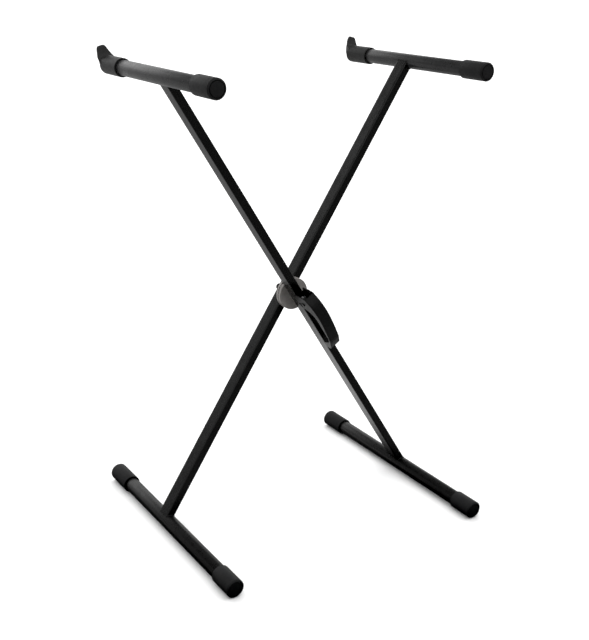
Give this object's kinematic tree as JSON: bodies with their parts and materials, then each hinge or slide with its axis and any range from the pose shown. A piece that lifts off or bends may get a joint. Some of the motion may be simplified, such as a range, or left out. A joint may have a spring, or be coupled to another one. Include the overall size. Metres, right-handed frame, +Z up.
{
  "type": "folding keyboard stand",
  "caption": "Folding X-frame keyboard stand: crossed tubular legs on a toothed hub clutch with a pull lever, capped carrying arms with upturned rear stops, and capped foot tubes.",
  "frame": {"origin": "centre of the footprint on the floor, midway between the foot tubes and between the front and rear ends of the feet", "axes": "+Z up; +X to the player's left-to-right across the arms; the arms and feet run along Y, with the player's side at -Y and the upturned stops at +Y"},
  "size_m": [0.5996, 0.53, 0.918],
  "materials": {
    "leg_paint": "satin black powder coat",
    "arm_paint": "satin black enamel",
    "foot_paint": "satin black powder coat",
    "cap_plastic": "moulded black plastic",
    "stop_rubber": "moulded charcoal rubber",
    "zinc": "bright zinc plate",
    "spring_steel": "drawn spring wire",
    "hub_paint": "black powder coat",
    "lever_paint": "satin black powder coat",
    "black_steel": "black-oxide fastener"
  },
  "bodies": {
    "front_frame": {"front_leg": "leg_paint", "left_arm_tube": "arm_paint", "left_arm_front_cap": "cap_plastic", "left_arm_rear_stop": "stop_rubber", "right_foot_tube": "foot_paint", "right_foot_front_cap": "cap_plastic", "right_foot_rear_cap": "cap_plastic", "front_clutch_disc": "zinc", "lever_bracket": "lever_paint", "pivot_rivet_left": "black_steel", "pivot_rivet_right": "black_steel", "clutch_spring": "spring_steel"},
    "draw_bolt": {"draw_bolt": "black_steel", "hub_washer": "black_steel", "hub_nut": "black_steel"},
    "rear_frame": {"rear_leg": "leg_paint", "right_arm_tube": "arm_paint", "right_arm_front_cap": "cap_plastic", "right_arm_rear_stop": "stop_rubber", "left_foot_tube": "foot_paint", "left_foot_front_cap": "cap_plastic", "left_foot_rear_cap": "cap_plastic", "rear_clutch_disc": "zinc", "hub_plate": "hub_paint"},
    "lever": {"clutch_lever": "lever_paint", "push_pin": "black_steel"}
  },
  "joints": [
    {"name": "clutch_release", "type": "slide", "parent": "front_frame", "child": "draw_bolt", "axis": [0, 1, 0], "range_m": [0, 0.0032], "deforming": ["clutch_spring"]},
    {"name": "leg_fold", "type": "hinge", "parent": "draw_bolt", "child": "rear_frame", "pos_m": [0, 0.009, 0.45309], "axis": [0, 1, 0], "range_deg": [-59.4, 44.6]},
    {"name": "lever_pull", "type": "hinge", "parent": "front_frame", "child": "lever", "pos_m": [0.00297, -0.0365, 0.44846], "axis": [-0.8415, 0, -0.5402], "range_deg": [0, 22], "stiffness_Nm_per_rad": 1, "springref_deg": -28.65}
  ],
  "couplings": [
    {"joint": "lever_pull", "follows": "clutch_release", "rad_per_m": 119.99}
  ]
}
